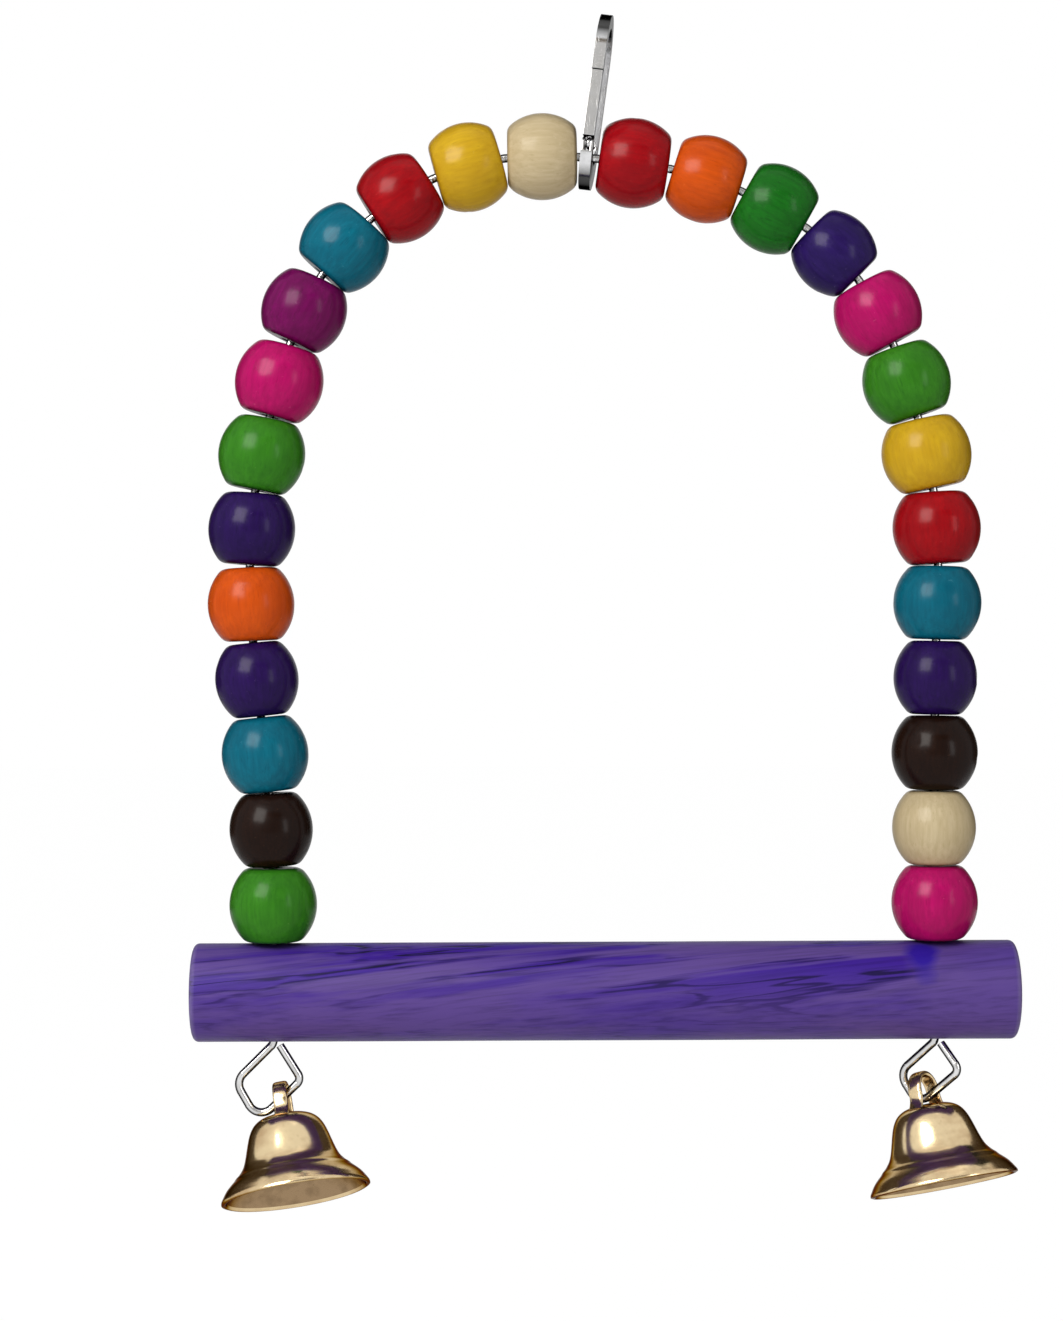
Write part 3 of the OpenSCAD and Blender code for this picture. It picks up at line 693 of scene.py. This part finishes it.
def bell_material():
    """Brass with the marks of the lathe, and a painted dark reflection that darkens it where it turns away from
    the eye.
    """
    made, tree, shader = fresh_material("polished_brass")
    shader.inputs["Metallic"].default_value = 1.0
    shader.inputs["Specular Tint"].default_value = opaque(BRASS_TINT)
    shine = put(tree, "ShaderNodeGroup", {"node_tree": lathe_polish_group()}, Bright=(0.76, 0.60, 0.36, 1),
                Film=(0.44, 0.28, 0.14, 1))
    # Painted dark reflection: the brass goes dark where it turns away from the eye, as thin dark outlines.
    colour = blend_colour(tree, by_slant(tree, 0.62, 0.92, 0.0, 0.85), shine.outputs["Colour"],
                          (0.045, 0.026, 0.012, 1))
    lay_on(tree, shader, shine, colour, 0.25, METAL_RELIEF_DEPTH)
    return made


def is_inside(face):
    """True for a face on the hollow side of the bell, away from the crown's top and the lip."""
    inwards = face.normal.x * face.center.x + face.normal.y * face.center.y
    under_crown = face.center.xy.length < UNDER_CROWN_R and face.normal.z < 0
    return INSIDE_FROM < face.center.z < INSIDE_TO and (inwards < 0 or under_crown)


brass = bell_material()
# The bells' inside: rougher, unpolished brass, with a darker colour that is painted shade in the hollow.
bell_inside = metal("unpolished_shaded_brass", bright=(0.32, 0.215, 0.120), film=(0.13, 0.082, 0.044), gloss=0.20,
                    scratches=(900, 900, 2400), relief=0.4, tint=BRASS_TINT, rim=(0.80, 0.99, 0.6))
shell_outline = bell_shell()
for side, (pitch, lift) in HANG.items():
    swing = joints[side + "_bell_swing"]
    along = Vector(swing["axis"])
    turn, tilt = math.atan2(along.y, along.x), math.asin(along.z)
    pose = (Matrix.Translation(swing["pos_m"]) @ Matrix.Rotation(turn, 4, "Z")
            @ Matrix.Rotation(-tilt, 4, "Y") @ Matrix.Rotation(-pitch, 4, "X")
            @ Matrix.Translation((0, 0, lift)))
    cup = lathe(side + "_bell_cup", shell_outline, BELL_SIDES, False)
    strap = in_scene("strap", strap_mesh("strap"))
    cup.data.materials.append(brass)
    strap.data.materials.append(brass)
    combine(cup, strap, "UNION")
    cup.data.shade_smooth()
    cup.data.set_sharp_from_angle(angle=math.radians(45))
    cup.data.materials.append(bell_inside)
    for face in cup.data.polygons:
        if is_inside(face):
            face.material_index = 1
    settle(cup, pose)
    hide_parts(side + "_bell")
    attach(cup, side + "_bell")

# Staples and clappers, one of each inside a bell. A bent steel staple in the crown carries a cast brass
# clapper with a ring, a stem and a ball, left as cast and dull.
plain_brass = metal("plain_brass", bright=(0.60, 0.46, 0.24), film=(0.38, 0.26, 0.12), gloss=0.24,
                    scratches=(1800, 1800, 1800), relief=0.3)
for side in HANG:
    dress(side + "_staple", drawn_steel)
    dress(side + "_clapper", plain_brass)


# Studio. A pale floor under the object, a soft white room, one window-like lamp from the upper left with
# two weak fills, and cards that only bright metal and lacquer mirror. The camera stands in front, a little
# below the object's middle.
FLOOR_DROP = 45 * MM
FLOOR_R = 3.0
FLOOR_GLOW = 1.02
GLOW_SHARE = 0.97
ROOM_LEVEL = 0.30
LOOK_AT = (0, 0, -0.09)


def seen_behind(tree):
    """1 for the rays that show the background: straight from the camera, mirrored, or through glass."""
    path = put(tree, "ShaderNodeLightPath")
    direct = calc(tree, "MAXIMUM", path.outputs["Is Camera Ray"], path.outputs["Is Glossy Ray"])
    return calc(tree, "MAXIMUM", direct, path.outputs["Is Transmission Ray"])


def floor_material():
    """Shaded where light falls on it, and close to plain white for the rays that show the background."""
    made, tree, shader = fresh_material("pale_floor")
    shader.inputs["Base Color"].default_value = (0.82, 0.82, 0.82, 1)
    shader.inputs["Roughness"].default_value = 0.9
    glow = put(tree, "ShaderNodeEmission", Color=(1, 1, 1, 1), Strength=FLOOR_GLOW)
    share = calc(tree, "MULTIPLY", seen_behind(tree), GLOW_SHARE)
    mixed = put(tree, "ShaderNodeMixShader", _0=share, _1=shader.outputs[0], _2=glow.outputs[0])
    tree.links.new(mixed.outputs[0], tree.nodes["Material Output"].inputs["Surface"])
    return made


floor_mesh = bpy.data.meshes.new("floor")
work = bmesh.new()
bmesh.ops.create_circle(work, cap_ends=True, segments=96, radius=FLOOR_R)
work.to_mesh(floor_mesh)
work.free()
floor = in_scene("floor", floor_mesh)
floor.location = (0, 0, cad_bounds[0][2] - FLOOR_DROP)
floor_mesh.materials.append(floor_material())

world = bpy.data.worlds.new("soft_room")
bpy.context.scene.world = world
world.use_nodes = True
sky = world.node_tree
sky.nodes.clear()
heading = put(sky, "ShaderNodeSeparateXYZ", Vector=put(sky, "ShaderNodeTexCoord").outputs["Generated"])
across = calc(sky, "ABSOLUTE", heading.outputs["X"])
darker_sides = between(sky, across, 0.35, 0.85, 1.0, 0.30)
darker_below = between(sky, heading.outputs["Z"], -0.35, 0.35, 0.45, 1.0)
level = calc(sky, "MULTIPLY", calc(sky, "MULTIPLY", darker_sides, darker_below), ROOM_LEVEL)
room = put(sky, "ShaderNodeBackground", Color=(1.0, 0.99, 0.97, 1), Strength=level)
plain = put(sky, "ShaderNodeBackground", Color=(1, 1, 1, 1), Strength=1.0)
whole = put(sky, "ShaderNodeMixShader", _0=seen_behind(sky), _1=room.outputs[0], _2=plain.outputs[0])
sky.links.new(whole.outputs[0], put(sky, "ShaderNodeOutputWorld").inputs["Surface"])


def stand_at(made, place, aim):
    """Puts a lamp or a card at a place, turned to its aim."""
    made.location = place
    made.rotation_euler = (Vector(aim) - Vector(place)).to_track_quat("-Z", "Y").to_euler()


def card(name, place, aim, size, shade):
    """A card of one plain shade that only mirrored rays meet, as photographers hang beside bright metal."""
    mesh = bpy.data.meshes.new(name)
    wide, high = size[0] / 2, size[1] / 2
    corners = [(-wide, -high, 0), (wide, -high, 0), (wide, high, 0), (-wide, high, 0)]
    mesh.from_pydata(corners, [], [(0, 1, 2, 3)])
    made = in_scene(name, mesh)
    stand_at(made, place, aim)
    cloth = bpy.data.materials.new(name + "_cloth")
    cloth.use_nodes = True
    tree = cloth.node_tree
    tree.nodes.clear()
    tone = put(tree, "ShaderNodeEmission", Color=opaque(shade), Strength=1.0)
    tree.links.new(tone.outputs[0], put(tree, "ShaderNodeOutputMaterial").inputs["Surface"])
    mesh.materials.append(cloth)
    made.visible_camera = made.visible_diffuse = made.visible_shadow = made.visible_transmission = False


card("left_flag", (-0.52, 0.46, -0.10), (0, 0, -0.10), (0.50, 1.10), (0.09, 0.07, 0.05))
card("right_flag", (0.52, 0.46, -0.10), (0, 0, -0.10), (0.50, 1.10), (0.09, 0.07, 0.05))
card("upper_flag", (0, 0.42, 0.62), (0, 0, -0.05), (1.30, 0.55), (0.02, 0.02, 0.02))
card("front_flag", (0.10, -0.90, 0.56), LOOK_AT, (1.10, 0.22), (0.12, 0.09, 0.055))
card("grey_card", (0.05, -1.20, 0.06), LOOK_AT, (1.30, 1.00), (0.56, 0.55, 0.53))
# The window pane glows, seen only in reflections: it puts the window highlight on lacquer and metal without
# lighting anything.
card("window_pane", (-0.345, -0.50, 0.27), LOOK_AT, (0.36, 0.36), (12.0, 11.6, 11.0))


def lamp(name, place, size, power):
    """A soft rectangular lamp at a place, turned to the object."""
    data = bpy.data.lights.new(name, "AREA")
    data.shape = "RECTANGLE"
    data.size, data.size_y = size
    data.energy = power
    stand_at(in_scene(name, data), place, LOOK_AT)


lamp("window", (-0.36, -0.52, 0.28), (0.40, 0.40), 3.9)
lamp("right_fill", (0.55, -0.58, 0.02), (0.16, 0.40), 0.8)
lamp("top", (0.05, 0.10, 0.75), (0.50, 0.50), 0.3)

camera_data = bpy.data.cameras.new("camera")
camera_data.sensor_fit = "HORIZONTAL"
camera_data.sensor_width = 36
camera_data.lens = 89.04
camera = in_scene("camera", camera_data)
camera.location = (-11.883 * MM, -440 * MM, -101.24 * MM)
camera.rotation_euler = (math.radians(90), 0, 0)
bpy.context.scene.camera = camera
bpy.context.scene.view_settings.view_transform = "Standard"
